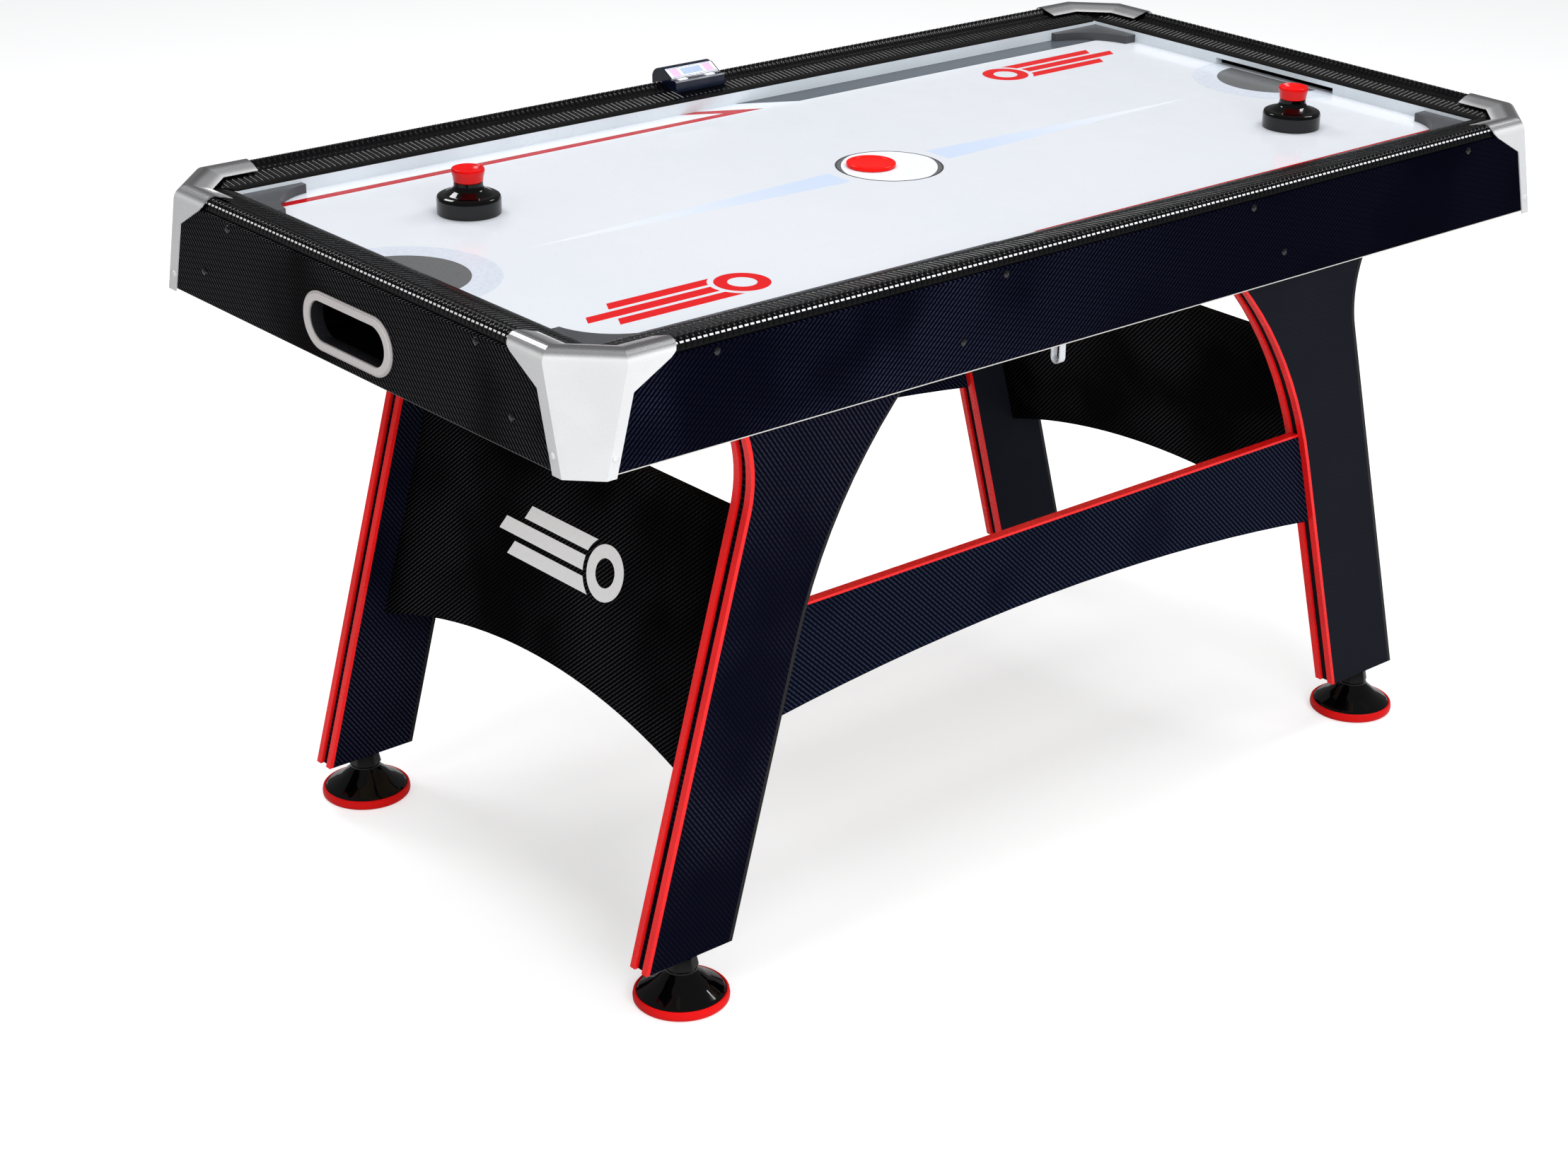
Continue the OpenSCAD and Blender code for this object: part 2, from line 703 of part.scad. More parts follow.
apron_near();
apron_far();
apron_left();
apron_right();
bottom_panel();
plenum_floor();
plenum_ribs();
playfield();
side_walls();
end_walls();
rail_near();
rail_far();
rail_left();
rail_right();
cap_near_left();
cap_near_right();
cap_far_left();
cap_far_right();
corner_guards();
goal_box_left();
goal_box_right();
return_bezel_left();
return_bezel_right();
blower_housing();
blower_grille();
blower_motor();
impeller();
power_inlet();
scorer_case();
scorer_face();
scorer_board();
score_button_1();
score_button_2();
score_button_3();
score_button_4();
leg_near_left();
leg_near_right();
leg_far_left();
leg_far_right();
leg_trims_near();
leg_trims_far();
end_panel_left();
end_panel_right();
stretchers();
cable_clip();
stretcher_trims();
foot_near_left();
foot_near_right();
foot_far_left();
foot_far_right();
foot_ring_near_left();
foot_ring_near_right();
foot_ring_far_left();
foot_ring_far_right();
mallet_base_1();
mallet_base_2();
mallet_knob_1();
mallet_knob_2();
puck();
screws();
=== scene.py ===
# Looks for the air hockey table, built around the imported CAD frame. Lengths here are in metres.
import math

import bmesh
import bpy
from mathutils import Matrix, Vector


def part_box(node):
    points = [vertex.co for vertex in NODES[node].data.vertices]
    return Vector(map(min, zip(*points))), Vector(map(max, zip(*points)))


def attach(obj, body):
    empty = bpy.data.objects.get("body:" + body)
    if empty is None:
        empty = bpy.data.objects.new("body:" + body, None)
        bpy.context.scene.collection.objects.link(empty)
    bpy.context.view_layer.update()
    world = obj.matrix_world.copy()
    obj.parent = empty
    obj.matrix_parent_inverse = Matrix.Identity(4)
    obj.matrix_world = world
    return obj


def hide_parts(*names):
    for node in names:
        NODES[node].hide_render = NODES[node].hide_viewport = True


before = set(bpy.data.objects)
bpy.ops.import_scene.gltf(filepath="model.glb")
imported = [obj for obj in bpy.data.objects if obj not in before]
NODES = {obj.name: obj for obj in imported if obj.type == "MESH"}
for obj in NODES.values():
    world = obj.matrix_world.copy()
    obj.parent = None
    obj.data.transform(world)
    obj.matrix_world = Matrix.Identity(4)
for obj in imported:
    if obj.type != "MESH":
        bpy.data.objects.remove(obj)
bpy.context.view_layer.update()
scene = bpy.context.scene

# ------------------------------------------------------------------ places taken from the frame

WALL_T = 0.012
FIELD_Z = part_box("playfield")[1].z
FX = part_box("end_walls")[1].x - WALL_T
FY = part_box("side_walls")[1].y - WALL_T
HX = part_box("apron_right")[1].x
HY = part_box("apron_far")[1].y
APRON_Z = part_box("apron_far")[0].z
RAIL_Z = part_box("rail_far")[0].z
CORNERS = ("near_left", "near_right", "far_left", "far_right")


# ------------------------------------------------------------------ mesh helpers

def link(name, mesh, mat, body, smooth=False):
    obj = bpy.data.objects.new(name, mesh)
    scene.collection.objects.link(obj)
    mats = mat if isinstance(mat, (list, tuple)) else [mat]
    for m in mats:
        mesh.materials.append(m)
    for p in mesh.polygons:
        p.use_smooth = smooth
    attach(obj, body)
    return obj


def from_bm(name, bm, mat, body, smooth=False, sharp=35):
    bmesh.ops.recalc_face_normals(bm, faces=bm.faces)
    mesh = bpy.data.meshes.new(name)
    bm.to_mesh(mesh)
    bm.free()
    obj = link(name, mesh, mat, body, smooth)
    if smooth and sharp:
        mesh.set_sharp_from_angle(angle=math.radians(sharp))
    return obj


def bevel(obj, width, segments=2, angle=40):
    m = obj.modifiers.new("bevel", "BEVEL")
    m.width = width
    m.segments = segments
    m.limit_method = "ANGLE"
    m.angle_limit = math.radians(angle)
    m.harden_normals = False
    return m


def smooth_by_angle(obj, angle=35):
    for p in obj.data.polygons:
        p.use_smooth = True
    obj.data.set_sharp_from_angle(angle=math.radians(angle))


def lathe(name, profile, centre, mat, body, steps=96, sharp=30):
    """A closed surface of revolution about a vertical axis; profile is [(r, z), ...] from axis to axis."""
    bm = bmesh.new()
    rings = []
    for r, z in profile:
        if r < 1e-7:
            rings.append([bm.verts.new((centre[0], centre[1], z))])
        else:
            rings.append([bm.verts.new((centre[0] + r * math.cos(2 * math.pi * i / steps),
                                        centre[1] + r * math.sin(2 * math.pi * i / steps), z))
                          for i in range(steps)])
    for a, b in zip(rings, rings[1:]):
        for i in range(steps):
            j = (i + 1) % steps
            if len(a) == 1 and len(b) == 1:
                continue
            if len(a) == 1:
                bm.faces.new((a[0], b[j], b[i]))
            elif len(b) == 1:
                bm.faces.new((a[i], a[j], b[0]))
            else:
                bm.faces.new((a[i], a[j], b[j], b[i]))
    return from_bm(name, bm, mat, body, True, sharp)


def fillet(points, radii, steps=5):
    """The open polyline with its inner corners rounded."""
    out = [points[0]]
    for k in range(1, len(points) - 1):
        r = radii[k] if isinstance(radii, (list, tuple)) else radii
        p = Vector(points[k]).to_2d()
        a = Vector(points[k - 1]).to_2d() - p
        b = Vector(points[k + 1]).to_2d() - p
        if r <= 0 or a.length < 1e-9 or b.length < 1e-9:
            out.append(tuple(p))
            continue
        ang = a.angle(b)
        cut = min(r / math.tan(ang / 2) if ang > 1e-3 else 0, a.length * 0.49, b.length * 0.49)
        s, e = p + a.normalized() * cut, p + b.normalized() * cut
        for i in range(steps + 1):
            t = i / steps
            out.append(tuple((1 - t) ** 2 * s + 2 * t * (1 - t) * p + t * t * e))
    out.append(points[-1])
    return out


def bridge(bm, a, b):
    """Quads between two closed rows of the same length."""
    n = len(a)
    for i in range(n):
        j = (i + 1) % n
        bm.faces.new((a[i], a[j], b[j], b[i]))


def slab(bm, low_pts, top_pts):
    """A closed solid between two outlines of the same length."""
    low = [bm.verts.new(p) for p in low_pts]
    top = [bm.verts.new(p) for p in top_pts]
    bm.faces.new(low[::-1])
    bm.faces.new(top)
    bridge(bm, low, top)


def prism(bm, pts, z0, z1):
    """A closed upright prism over a flat outline."""
    slab(bm, [(x, y, z0) for x, y in pts], [(x, y, z1) for x, y in pts])


def ring_solid(bm, place, cu, radii, heights, n):
    """A flat ring with a square section; place maps (u, v, height) to a point, and cu is its centre's u."""
    (r0, r1), (z0, z1) = radii, heights
    rows = []
    for r, z in ((r0, z0), (r1, z0), (r1, z1), (r0, z1)):
        turn = [2 * math.pi * i / n for i in range(n)]
        rows.append([bm.verts.new(place(cu + r * math.cos(a), r * math.sin(a), z)) for a in turn])
    for a, b in zip(rows, rows[1:] + rows[:1]):
        bridge(bm, a, b)


def arc(cx, cy, r, a0, a1, n):
    return [(cx + r * math.cos(math.radians(a0 + (a1 - a0) * i / n)),
             cy + r * math.sin(math.radians(a0 + (a1 - a0) * i / n))) for i in range(n + 1)]


# ------------------------------------------------------------------ material helpers

class Mat:
    """A Principled material with short calls for the nodes used here."""

    def __init__(self, name, color, rough=0.5, metal=0.0, spec=0.5, coat=0.0, coat_rough=0.05):
        self.mat = bpy.data.materials.new(name)
        self.mat.use_nodes = True
        self.nt = self.mat.node_tree
        self.bsdf = next(n for n in self.nt.nodes if n.type == "BSDF_PRINCIPLED")
        self.set("Base Color", (*color, 1))
        self.set("Roughness", rough)
        self.set("Metallic", metal)
        self.set("Specular IOR Level", spec)
        self.set("Coat Weight", coat)
        self.set("Coat Roughness", coat_rough)
        self._sep = None

    def set(self, socket, value):
        s = self.bsdf.inputs[socket]
        if isinstance(value, bpy.types.NodeSocket):
            self.nt.links.new(value, s)
        else:
            s.default_value = value

    def node(self, kind, **props):
        n = self.nt.nodes.new(kind)
        for k, v in props.items():
            setattr(n, k, v)
        return n

    def put(self, sock, value):
        if isinstance(value, bpy.types.NodeSocket):
            self.nt.links.new(value, sock)
        elif isinstance(value, (tuple, list)) and len(value) == 3 and sock.type == "RGBA":
            sock.default_value = (*value, 1)
        else:
            sock.default_value = value

    def xyz(self):
        if self._sep is None:
            tc = self.node("ShaderNodeTexCoord")
            self._sep = self.node("ShaderNodeSeparateXYZ")
            self.nt.links.new(tc.outputs["Object"], self._sep.inputs[0])
            self.co = tc.outputs["Object"]
        return self._sep.outputs

    def m(self, op, a, b=None, c=None):
        n = self.node("ShaderNodeMath", operation=op)
        self.put(n.inputs[0], a)
        if b is not None:
            self.put(n.inputs[1], b)
        if c is not None:
            self.put(n.inputs[2], c)
        return n.outputs[0]

    def ramp(self, x, lo, hi, a=0.0, b=1.0, smooth=True):
        n = self.node("ShaderNodeMapRange")
        n.interpolation_type = "SMOOTHSTEP" if smooth else "LINEAR"
        self.put(n.inputs["Value"], x)
        n.inputs["From Min"].default_value = lo
        n.inputs["From Max"].default_value = hi
        n.inputs["To Min"].default_value = a
        n.inputs["To Max"].default_value = b
        return n.outputs[0]

    def noise(self, scale, detail=3, rough=0.5, vec=None, stretch=None):
        self.xyz()
        n = self.node("ShaderNodeTexNoise")
        n.inputs["Scale"].default_value = scale
        n.inputs["Detail"].default_value = detail
        n.inputs["Roughness"].default_value = rough
        v = vec or self.co
        if stretch:
            mp = self.node("ShaderNodeMapping")
            mp.inputs["Scale"].default_value = stretch
            self.nt.links.new(v, mp.inputs[0])
            v = mp.outputs[0]
        self.nt.links.new(v, n.inputs["Vector"])
        return n.outputs["Fac"]

    def mix(self, f, a, b):
        n = self.node("ShaderNodeMix", data_type="RGBA")
        self.put(n.inputs[0], f)
        self.put(n.inputs[6], a)
        self.put(n.inputs[7], b)
        return n.outputs[2]

    def bump(self, height, strength=0.2, distance=0.0005):
        n = self.node("ShaderNodeBump")
        n.inputs["Strength"].default_value = strength
        n.inputs["Distance"].default_value = distance
        self.nt.links.new(height, n.inputs["Height"])
        self.set("Normal", n.outputs[0])


def gloss_plastic(name, color, rough=0.22, spec=0.5, coat=0.0, grain=0.0, vary=0.12):
    """Moulded plastic: slight tone drift, fine surface waviness and faint handling haze."""
    q = Mat(name, color, rough, 0, spec, coat)
    big = q.noise(9, 3)
    q.set("Base Color", q.mix(q.ramp(big, 0.3, 0.7), tuple(c * (1 - vary) for c in color),
                              tuple(min(1, c * (1 + vary)) for c in color)))
    haze = q.noise(60, 4, 0.6)
    q.set("Roughness", q.ramp(haze, 0.3, 0.75, max(0.02, rough - 0.04), rough + 0.07))
    if grain:
        q.bump(q.noise(2600, 2, 0.6), grain, 0.0002)
    return q.mat


THREAD_PITCH = 0.00465
FLOAT_PITCH = 0.0078


def carbon_film(name, u_axis, angle, dark, light, edge=None, edge_z=None, gain=1.0, rough=0.42,
                stretch=1.0, fade=(0.32, 0.62), spec=0.008, painted_sheen_zone=(-2.0, 2.0, 1.0, 1.0)):
    """Printed carbon-look film: slanted threads in short floats. How strongly the threads show is painted
    sheen: a noise cloud and a ramp along u make them strong in some areas and faint in others.
    """
    q = Mat(name, dark, rough, 0, spec)
    c = q.xyz()
    u, v = c[u_axis], c[2]
    ca, sa = math.cos(math.radians(angle)), math.sin(math.radians(angle))
    t = q.m("SUBTRACT", q.m("MULTIPLY", v, ca * stretch), q.m("MULTIPLY", u, sa))
    s = q.m("ADD", q.m("MULTIPLY", u, ca), q.m("MULTIPLY", v, sa * stretch))
    row = q.m("DIVIDE", t, THREAD_PITCH)
    line = q.m("PINGPONG", row, 0.5)
    thread = q.ramp(line, 0.24, 0.42)
    shift = q.m("MULTIPLY", q.m("FLOOR", row), 0.37)
    dash = q.m("PINGPONG", q.m("ADD", q.m("DIVIDE", s, FLOAT_PITCH), shift), 0.5)
    floats = q.ramp(dash, 0.06, 0.2)
    # Painted sheen: the threads show strongly or faintly by a noise cloud, times a ramp along u.
    painted_sheen_cloud = q.ramp(q.noise(5.5, 2, 0.5), fade[0], fade[1], 0.12, 1.0)
    painted_sheen_cloud = q.m("MULTIPLY", painted_sheen_cloud, q.ramp(u, *painted_sheen_zone))
    pat = q.m("MULTIPLY", q.m("MULTIPLY", thread, q.m("MULTIPLY_ADD", floats, 0.45, 0.55)), painted_sheen_cloud)
    pat = q.m("MULTIPLY", pat, gain)
    col = q.mix(pat, dark, light)
    scuff = q.ramp(q.noise(3.1, 5, 0.65), 0.62, 0.8, 0, 0.35)
    if edge is not None:
        lim = q.ramp(v, edge_z, edge_z + 0.0003, 1, 0)
        col = q.mix(lim, col, edge)
    q.set("Base Color", col)
    q.set("Roughness", q.m("ADD", q.m("MULTIPLY_ADD", pat, -0.12, rough), q.m("MULTIPLY", scuff, 0.12)))
    q.bump(pat, 0.25, 0.00012)
    return q.mat


# ------------------------------------------------------------------ materials

M = {}
INK = (0.0006, 0.0007, 0.0040)
# On the near and far aprons the painted sheen runs from strong threads at the left end to faint ones at the
# right.
M["film_long"] = carbon_film("film_long", 0, 42, INK, (0.034, 0.040, 0.072), (0.62, 0.60, 0.56),
                             APRON_Z + 0.0010, painted_sheen_zone=(-0.70, 0.25, 1.0, 0.12))
M["film_end"] = carbon_film("film_end", 1, 48, (0.0006, 0.0004, 0.0008), (0.070, 0.070, 0.076),
                            (0.13, 0.125, 0.12), APRON_Z + 0.0006, gain=0.8)
# The legs share one film: the left pair gets a darker copy (painted shade) and the right pair a lighter,
# greyer copy (painted light), set by how light falls on each pair.
M["film_leg_left_shaded"] = carbon_film("film_leg_left_shaded", 0, 125, (0.0020, 0.0022, 0.0075),
                                 (0.026, 0.028, 0.044), gain=0.9)
M["film_leg_right_lit"] = carbon_film("film_leg_right_lit", 0, 56, (0.0110, 0.0120, 0.0170),
                                  (0.018, 0.020, 0.028), gain=0.6)
M["film_stretch"] = carbon_film("film_stretch", 0, 136, (0.0016, 0.0022, 0.0075),
                                (0.020, 0.027, 0.050), fade=(0.2, 0.45))
M["film_panel"] = carbon_film("film_panel", 1, 136, (0.0004, 0.0004, 0.0006),
                              (0.042, 0.042, 0.048), gain=0.9, stretch=1.04)
M["rail"] = gloss_plastic("rail", (0.0014, 0.0014, 0.0018), 0.22, 0.22)
# Light grey for dashes on the rib tips along one shoulder row of the rails: painted highlights.
M["rib_painted_highlight"] = gloss_plastic("rib_painted_highlight", (0.74, 0.74, 0.75), 0.25, 0.5, 0, 0, 0.05)
M["red"] = gloss_plastic("red_trim", (0.95, 0.012, 0.012), 0.26, 0.3)
M["groove"] = gloss_plastic("groove_black", (0.004, 0.004, 0.0045), 0.4, 0.3)
M["ring"] = gloss_plastic("ring_red", (0.72, 0.006, 0.006), 0.38, 0.15)
M["knob"] = gloss_plastic("knob_red", (0.62, 0.002, 0.002), 0.2, 0.25)
M["puck"] = gloss_plastic("puck_red", (0.80, 0.004, 0.002), 0.24, 0.15)
M["black"] = gloss_plastic("gloss_black", (0.0008, 0.0008, 0.0010), 0.06, 0.45)
M["satin_black"] = gloss_plastic("satin_black", (0.003, 0.003, 0.0034), 0.32, 0.3)
M["guard"] = gloss_plastic("guard_grey", (0.055, 0.057, 0.062), 0.34, 0.3, 0, 0.08)
M["screw"] = gloss_plastic("screw_black", (0.004, 0.004, 0.005), 0.12, 0.6)
M["navy"] = gloss_plastic("scorer_navy", (0.0035, 0.0065, 0.020), 0.22, 0.5)
M["white_key"] = gloss_plastic("white_key", (0.82, 0.86, 0.92), 0.25, 0.5, 0, 0, 0.03)
M["green"] = gloss_plastic("circuit_green", (0.02, 0.14, 0.05), 0.45)
M["clip"] = gloss_plastic("clear_clip", (0.55, 0.57, 0.60), 0.08, 0.8, 0.4)


def silver_paint():
    """Satin silver on the flat faces; over the rounded top it is painted grey and then dark grey by height, a
    painted reflection, and turns metallic there.
    """
    q = Mat("silver_paint", (0.86, 0.86, 0.865), 0.30, 0.05, 0.5)
    z = q.xyz()[2]
    big = q.noise(14, 3)
    flat = q.mix(q.ramp(big, 0.3, 0.7), (0.67, 0.67, 0.675), (0.71, 0.71, 0.71))
    # Painted reflection on the rounded top: grey from this height, dark grey higher up.
    col = q.mix(q.ramp(z, RAIL_Z + 0.0075, RAIL_Z + 0.0135), flat, (0.52, 0.52, 0.53))
    col = q.mix(q.ramp(z, RAIL_Z + 0.0135, RAIL_Z + 0.0158), col, (0.22, 0.22, 0.225))
    q.set("Base Color", col)
    q.set("Metallic", q.ramp(z, RAIL_Z + 0.0070, RAIL_Z + 0.0120, 0.05, 0.75))
    q.set("Roughness", q.ramp(q.noise(1800, 2, 0.5), 0.3, 0.7, 0.25, 0.34))
    return q.mat


def bezel_plastic():
    """Light satin ring, a little lighter at its outer lip; the tunnel inside the apron's face is painted near
    black, a painted shade of the recess.
    """
    q = Mat("bezel_plastic", (0.60, 0.565, 0.555), 0.28, 0, 0.5)
    x = q.m("ABSOLUTE", q.xyz()[0])
    # Painted shade: near black inside the apron's face, where the tunnel is.
    f = q.ramp(x, HX - 0.0004, HX + 0.0022)
    lip = q.ramp(x, HX + 0.0030, HX + 0.0036)
    col = q.mix(f, (0.014, 0.014, 0.016), (0.56, 0.52, 0.515))
    q.set("Base Color", q.mix(lip, col, (0.66, 0.62, 0.61)))
    q.set("Roughness", q.ramp(q.noise(700, 3, 0.5), 0.3, 0.7, 0.24, 0.34))
    return q.mat


HOLE_STEP = 0.0254
HOLE_R = 0.0003


def field_white():
    """The playing field's glossy white, with the air holes as small grey dots: painted shade inside the
    holes.
    """
    q = Mat("field_white", (0.70, 0.73, 0.80), 0.14, 0, 0.5, 0.2, 0.06)
    c = q.xyz()
    big = q.noise(2.2, 3)
    col = q.mix(q.ramp(big, 0.3, 0.7), (0.615, 0.638, 0.682), (0.645, 0.665, 0.705))
    half = HOLE_STEP / 2
    gx = q.m("PINGPONG", q.m("ADD", c[0], half), half)
    gy = q.m("PINGPONG", q.m("ADD", c[1], half), half)
    d = q.m("SQRT", q.m("ADD", q.m("MULTIPLY", gx, gx), q.m("MULTIPLY", gy, gy)))
    # Painted shade: a grey dot where each air hole is.
    hole = q.ramp(d, HOLE_R, 1.5 * HOLE_R, 1, 0)
    col = q.mix(hole, col, (0.25, 0.26, 0.28))
    q.set("Base Color", col)
    q.set("Roughness", q.ramp(q.noise(30, 4, 0.6), 0.3, 0.75, 0.13, 0.22))
    return q.mat


def plain_print(name, a, b=None, axis=0, lo=0.0, hi=1.0):
    """Printed ink under the field's gloss; it can fade from colour a to colour b along one axis."""
    q = Mat(name, a, 0.18, 0, 0.12)
    n = q.noise(260, 3, 0.6)
    if b is None:
        low, high = tuple(c * 0.95 for c in a), tuple(min(1, c * 1.05) for c in a)
        q.set("Base Color", q.mix(q.ramp(n, 0.3, 0.7), low, high))
    else:
        q.set("Base Color", q.mix(q.ramp(q.xyz()[axis], lo, hi), a, b))
    q.set("Roughness", q.ramp(n, 0.3, 0.75, 0.15, 0.22))
    return q.mat


def board():
    """Bare board, for what is inside the cabinet."""
    q = Mat("raw_board", (0.40, 0.30, 0.20), 0.7, 0, 0.3)
    f = q.noise(420, 4, 0.7, stretch=(1, 0.3, 1))
    q.set("Base Color", q.mix(q.ramp(f, 0.25, 0.75), (0.30, 0.21, 0.13), (0.50, 0.39, 0.27)))
    q.bump(f, 0.3, 0.0003)
    return q.mat


def steel():
    """Zinc-plated steel."""
    q = Mat("zinc_steel", (0.6, 0.6, 0.61), 0.3, 1.0)
    s = q.noise(300, 3, 0.6, stretch=(1, 1, 12))
    q.set("Roughness", q.ramp(s, 0.2, 0.8, 0.22, 0.42))
    q.bump(s, 0.08, 0.0001)
    return q.mat


M["silver"] = silver_paint()
M["bezel"] = bezel_plastic()
M["field"] = field_white()
M["wall"] = gloss_plastic("wall_white", (0.60, 0.65, 0.69), 0.3, 0.4, 0, 0, 0.05)
M["board"] = board()
M["steel"] = steel()
M["print_red"] = plain_print("print_red", (0.56, 0.008, 0.010))
M["stripe_red"] = plain_print("stripe_red", (0.36, 0.002, 0.004))
M["print_grey"] = plain_print("print_grey", (0.105, 0.107, 0.110))
M["print_band"] = plain_print("print_band", (0.060, 0.070, 0.085), (0.075, 0.085, 0.10), 0, 0.1, 0.6)
M["print_blue"] = plain_print("print_blue", (0.49, 0.525, 0.585))
M["print_slate"] = plain_print("print_slate", (0.045, 0.045, 0.050))
M["print_white"] = plain_print("print_white", (0.66, 0.68, 0.72))
M["wedge_l"] = plain_print("wedge_l", (0.46, 0.53, 0.66), (0.62, 0.645, 0.69), 0, -0.10, -0.50)
M["wedge_r"] = plain_print("wedge_r", (0.46, 0.53, 0.66), (0.62, 0.645, 0.69), 0, 0.10, 0.50)


# ------------------------------------------------------------------ CAD pieces that show as they are

def dress(names, mat, width=0.0, segments=2, angle=40):
    """Give CAD nodes a material, smooth shading and a small bevel."""
    for n in names:
        o = NODES[n]
        o.data.materials.clear()
        o.data.materials.append(mat)
        smooth_by_angle(o, 30)
        if width:
            bevel(o, width, segments, angle)


dress(["apron_near", "apron_far"], M["film_long"], 0.0006)
dress(["apron_left", "apron_right"], M["film_end"], 0.0006)
dress(["bottom_panel", "plenum_floor", "plenum_ribs"], M["board"], 0.0004)
dress(["playfield"], M["field"])
dress(["side_walls", "end_walls"], M["wall"], 0.0004)
dress([f"cap_{c}" for c in CORNERS], M["silver"], 0.0005, 2, 20)
dress(["corner_guards"], M["guard"], 0.0005)
dress(["goal_box_left", "goal_box_right"], M["satin_black"], 0.0004)
dress(["blower_housing", "blower_grille", "power_inlet"], M["satin_black"], 0.0004)
dress(["return_bezel_left", "return_bezel_right"], M["bezel"], 0.0009, 3)
dress(["blower_motor"], M["steel"], 0.0005)
dress(["impeller"], M["white_key"], 0.0003)
dress(["scorer_case"], M["navy"], 0.0005)
dress(["scorer_face"], M["white_key"], 0.0002)
dress(["scorer_board"], M["green"])
dress([f"score_button_{i}" for i in (1, 2, 3, 4)], M["white_key"], 0.0004)
dress(["leg_near_left", "leg_far_left"], M["film_leg_left_shaded"], 0.0005)
dress(["leg_near_right", "leg_far_right"], M["film_leg_right_lit"], 0.0005)
dress(["leg_trims_near", "leg_trims_far", "stretcher_trims"], M["red"], 0.0012, 3)
dress(["end_panel_left", "end_panel_right"], M["film_panel"], 0.0006)
dress(["stretchers"], M["film_stretch"], 0.0005)
dress(["cable_clip"], M["clip"], 0.0003)
dress(["screws"], M["screw"], 0.0)


def islands(obj):
    """Groups of polygon numbers, one group for each separate solid of the mesh."""
    parent = list(range(len(obj.data.vertices)))

    def root(i):
        while parent[i] != i:
            parent[i] = parent[parent[i]]
            i = parent[i]
        return i

    for e in obj.data.edges:
        a, b = root(e.vertices[0]), root(e.vertices[1])
        if a != b:
            parent[a] = b
    groups = {}
    for p in obj.data.polygons:
        groups.setdefault(root(p.vertices[0]), []).append(p.index)
    return list(groups.values())


def side_banding(node):
    """The strips on edges that face +X are red on the ridge and black on their flanks."""
    o = NODES[node]
    o.data.materials.append(M["groove"])
    polys = o.data.polygons
    found = []
    for g in islands(o):
        area = sum(polys[i].area for i in g)
        found.append((sum(polys[i].center.x * polys[i].area for i in g) / area, g))
    for sign in (-1, 1):
        part = sorted([f for f in found if f[0] * sign > 0], key=lambda f: f[0])
        for _, g in part[len(part) // 2:]:
            for i in g:
                if abs(polys[i].normal.y) > 0.7:
                    polys[i].material_index = 1


side_banding("leg_trims_near")
side_banding("leg_trims_far")


CAP_SCREW_Z = 0.7085


def cap_screws():
    """The screws low on the corner caps are bright, the others are black."""
    o = NODES["screws"]
    o.data.materials.append(M["silver"])
    polys = o.data.polygons
    for g in islands(o):
        cx = sum(abs(polys[i].center.x) for i in g) / len(g)
        cz = sum(polys[i].center.z for i in g) / len(g)
        if abs(cz - CAP_SCREW_Z) < 0.006 and cx > FX - 0.005:
            for i in g:
                polys[i].material_index = 1


cap_screws()


# ------------------------------------------------------------------ rails: ribbed moulding

PITCH = 0.00745
RIB_DEPTH = 0.0011
# (place along one pitch, how deep) over one rib and the groove beside it
RIB = [(-0.5, 1.0), (-0.40, 0.92), (-0.32, 0.35), (-0.22, 0.06),
       (0.0, 0.0), (0.22, 0.06), (0.32, 0.35), (0.40, 0.92)]
SHOULDER = [180, 171, 164, 149, 136, 124, 112, 101, 90, 79, 68, 56, 45.6]
CAP_LEAN = math.radians(9.86)
CAP_CUT = 0.060
CAP_CUT_Z = 0.8078
CAP_GAP = 0.0130


def rail_profile(w):
    """(distance in from the apron's face, height, rib depth) round the moulding's section."""
    pts = []
    cx, cz, r = 0.0128, 0.0065, 0.0079
    pts.append((0.0044, 0.0002, 0.0))
    pts.append((0.0044, 0.0040, 0.2))
    for deg in SHOULDER:
        a = math.radians(deg)
        pts.append((cx + r * math.cos(a), cz + r * math.sin(a), 0.5 if deg > 150 else 1.0))
    pts += [(0.0205, 0.0098, 0.9), (0.0240, 0.0080, 0.7), (0.0275, 0.0069, 0.2), (0.0290, 0.0067, 0.0)]
    pts += [(0.0297, 0.0074, 0.0), (0.0306, 0.0075, 0.0), (0.0315, 0.0068, 0.0)]
    pts += [(0.0330, 0.0066, 0.5), (0.0360, 0.0062, 0.9)]
    end = w - 0.0125
    for i in range(1, 5):
        t = i / 4
        pts.append((0.036 + (end - 0.036) * t, 0.0062 + (0.0035 - 0.0062) * t, 0.9))
    pts += [(end + 0.0015, 0.0032, 0.4), (end + 0.003, 0.0030, 0.0)]
    pts += [(w - 0.0012, 0.0016, 0.0), (w, 0.0011, 0.0), (w, 0.0002, 0.0)]
    return pts


def cut_for_caps(bm, along_x, sign):
    """Cut both ends of a rail along the caps' leaning chamfers, and close them."""
    flat = math.cos(CAP_LEAN) / math.sqrt(2)
    for end in (-1, 1):
        sx, sy = (end, sign) if along_x else (sign, end)
        out = Vector((sx * flat, sy * flat, -math.sin(CAP_LEAN)))
        co = Vector((sx * HX, sy * (HY - CAP_CUT), CAP_CUT_Z)) - out * CAP_GAP
        geom = bm.verts[:] + bm.edges[:] + bm.faces[:]
        bmesh.ops.bisect_plane(bm, geom=geom, dist=1e-6, plane_co=co, plane_no=out, clear_outer=True)
        edges = [e for e in bm.edges if e.is_boundary]
        if edges:
            bmesh.ops.holes_fill(bm, edges=edges, sides=0)


